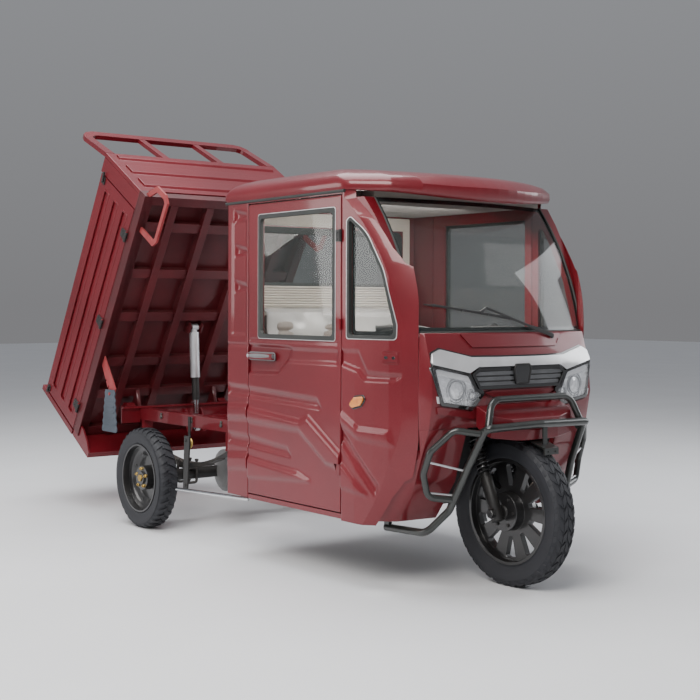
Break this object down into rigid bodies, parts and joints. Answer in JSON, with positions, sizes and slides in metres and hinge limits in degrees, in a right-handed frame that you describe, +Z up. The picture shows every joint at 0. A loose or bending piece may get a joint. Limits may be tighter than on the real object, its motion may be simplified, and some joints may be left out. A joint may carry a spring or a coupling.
{
  "type": "electric cargo tricycle with cab and tipping bed",
  "caption": "Three-wheeled electric cargo vehicle with an enclosed cab, a steered front wheel behind a tube bumper, and a load bed that tips to the rear.",
  "frame": {"origin": "on the ground, under the middle of the whole vehicle with its bed raised", "axes": "+X to the front, +Y to the left of the driver, +Z up"},
  "size_m": [3.6335, 1.188, 2.1153],
  "materials": {
    "red_paint": "metallic maroon, clear coat",
    "tyre_rubber": "matt",
    "black_alloy": "satin",
    "silver_steel": "satin",
    "black_steel": "satin",
    "dark_red_frame": "satin maroon",
    "spring_steel": "satin",
    "cast_alloy": "cast",
    "bright_rod": "bright",
    "floor_steel": "matt",
    "black_plastic": "grained",
    "glass": "clear",
    "lamp_lens": "clear lens",
    "silver_trim": "silver paint",
    "liner": "felt",
    "battery": "plain",
    "seat_vinyl": "vinyl",
    "black_tube": "gloss black",
    "mudflap_rubber": "matt",
    "tail_lens": "red lens",
    "cylinder_silver": "silver"
  },
  "bodies": {
    "chassis": {"bar_guard_left": "black_tube", "bar_guard_right": "black_tube", "battery_block": "battery", "bull_bar": "black_tube", "cab_floor": "floor_steel", "chassis_frame": "dark_red_frame", "dashboard": "black_plastic", "drive_unit": "cast_alloy", "fixed_glass": "glass", "front_corners": "red_paint", "front_fascia": "red_paint", "grille": "black_plastic", "headlamps": "lamp_lens", "lamp_band": "silver_trim", "leaf_springs": "spring_steel", "nose_beak": "red_paint", "rear_axle": "black_steel", "rear_wall": "red_paint", "roof": "red_paint", "roof_liner": "liner", "seat_back": "seat_vinyl", "seat_base": "black_plastic", "seat_cushion": "seat_vinyl", "side_front_left": "red_paint", "side_front_right": "red_paint", "side_rear_left": "red_paint", "side_rear_right": "red_paint", "steering_head": "black_steel", "underrun_rods": "bright_rod", "wheel_housing": "black_plastic", "windshield": "glass", "windshield_pillars": "red_paint", "wiper": "black_plastic"},
    "steering": {"fork": "black_steel", "handlebar": "black_steel"},
    "front_wheel": {"front_tyre": "tyre_rubber", "front_rim": "black_alloy"},
    "rear_wheel_right": {"rear_tyre_right": "tyre_rubber", "rear_rim_right": "silver_steel"},
    "rear_wheel_left": {"rear_tyre_left": "tyre_rubber", "rear_rim_left": "silver_steel"},
    "door_right": {"door_panel_right": "red_paint", "door_glass_right": "glass"},
    "door_left": {"door_panel_left": "red_paint", "door_glass_left": "glass"},
    "bed": {"bed_floor": "red_paint", "bed_frame": "dark_red_frame", "headboard": "red_paint", "load_rack": "red_paint", "tail_skirt": "red_paint", "tail_lamps": "tail_lens", "bed_brackets": "red_paint"},
    "side_gate_right": {"side_gate_right": "red_paint"},
    "side_gate_left": {"side_gate_left": "red_paint"},
    "tailgate": {"tailgate": "red_paint"},
    "mudflap_right": {"mudflap_right": "mudflap_rubber"},
    "mudflap_left": {"mudflap_left": "mudflap_rubber"},
    "cylinder_barrel": {"cylinder_barrel": "cylinder_silver"},
    "cylinder_stage": {"cylinder_stage": "black_steel"},
    "cylinder_rod": {"cylinder_rod": "spring_steel"}
  },
  "joints": [
    {"name": "steer", "type": "hinge", "parent": "chassis", "child": "steering", "pos_m": [1.51475, 0, 0.302], "axis": [-0.3907, 0, 0.9205], "range_deg": [-35, 35]},
    {"name": "front_wheel_spin", "type": "hinge", "parent": "steering", "child": "front_wheel", "pos_m": [1.51475, 0, 0.302], "axis": [0, 1, 0], "continuous": true},
    {"name": "rear_wheel_spin_right", "type": "hinge", "parent": "chassis", "child": "rear_wheel_right", "pos_m": [-0.56625, -0.542, 0.254], "axis": [0, 1, 0], "continuous": true},
    {"name": "rear_wheel_spin_left", "type": "hinge", "parent": "chassis", "child": "rear_wheel_left", "pos_m": [-0.56625, 0.542, 0.254], "axis": [0, 1, 0], "continuous": true},
    {"name": "door_hinge_right", "type": "hinge", "parent": "chassis", "child": "door_right", "pos_m": [1.10075, -0.573, 0.94], "axis": [0, 0, 1], "range_deg": [0, 68]},
    {"name": "door_hinge_left", "type": "hinge", "parent": "chassis", "child": "door_left", "pos_m": [1.10075, 0.573, 0.94], "axis": [0, 0, -1], "range_deg": [0, 68]},
    {"name": "bed_tip", "type": "hinge", "parent": "chassis", "child": "bed", "pos_m": [-1.21209, 0, 0.55979], "axis": [0, -1, 0], "range_deg": [-59, 0]},
    {"name": "side_gate_hinge_right", "type": "hinge", "parent": "bed", "child": "side_gate_right", "pos_m": [-1.04578, -0.558, 1.03268], "axis": [0.515, 0, 0.8572], "range_deg": [0, 110]},
    {"name": "side_gate_hinge_left", "type": "hinge", "parent": "bed", "child": "side_gate_left", "pos_m": [-1.04578, 0.558, 1.03268], "axis": [-0.515, 0, -0.8572], "range_deg": [0, 110]},
    {"name": "tailgate_hinge", "type": "hinge", "parent": "bed", "child": "tailgate", "pos_m": [-1.42742, 0, 0.39752], "axis": [0, -1, 0], "range_deg": [0, 85]},
    {"name": "mudflap_hang_right", "type": "hinge", "parent": "bed", "child": "mudflap_right", "pos_m": [-0.9865, -0.533, 0.65757], "axis": [0, -1, 0], "range_deg": [-1, 60]},
    {"name": "mudflap_hang_left", "type": "hinge", "parent": "bed", "child": "mudflap_left", "pos_m": [-0.9865, 0.533, 0.65757], "axis": [0, -1, 0], "range_deg": [-1, 60]},
    {"name": "cylinder_swing", "type": "hinge", "parent": "bed", "child": "cylinder_barrel", "pos_m": [-1.0048, 0, 1.01156], "axis": [0, -1, 0], "range_deg": [-0.5, 2.5]},
    {"name": "cylinder_stage_slide", "type": "slide", "parent": "cylinder_barrel", "child": "cylinder_stage", "axis": [0.0561, 0, -0.9984], "range_m": [-0.1305, 0]},
    {"name": "cylinder_rod_slide", "type": "slide", "parent": "cylinder_stage", "child": "cylinder_rod", "axis": [0.0561, 0, -0.9984], "range_m": [-0.1305, 0]}
  ],
  "couplings": [
    {"joint": "mudflap_hang_right", "follows": "bed_tip", "ratio": -1},
    {"joint": "mudflap_hang_left", "follows": "bed_tip", "ratio": -1},
    {"joint": "cylinder_swing", "follows": "bed_tip", "ratio": -0.03},
    {"joint": "cylinder_stage_slide", "follows": "bed_tip", "m_per_rad": 0.12561},
    {"joint": "cylinder_rod_slide", "follows": "bed_tip", "m_per_rad": 0.12561}
  ]
}
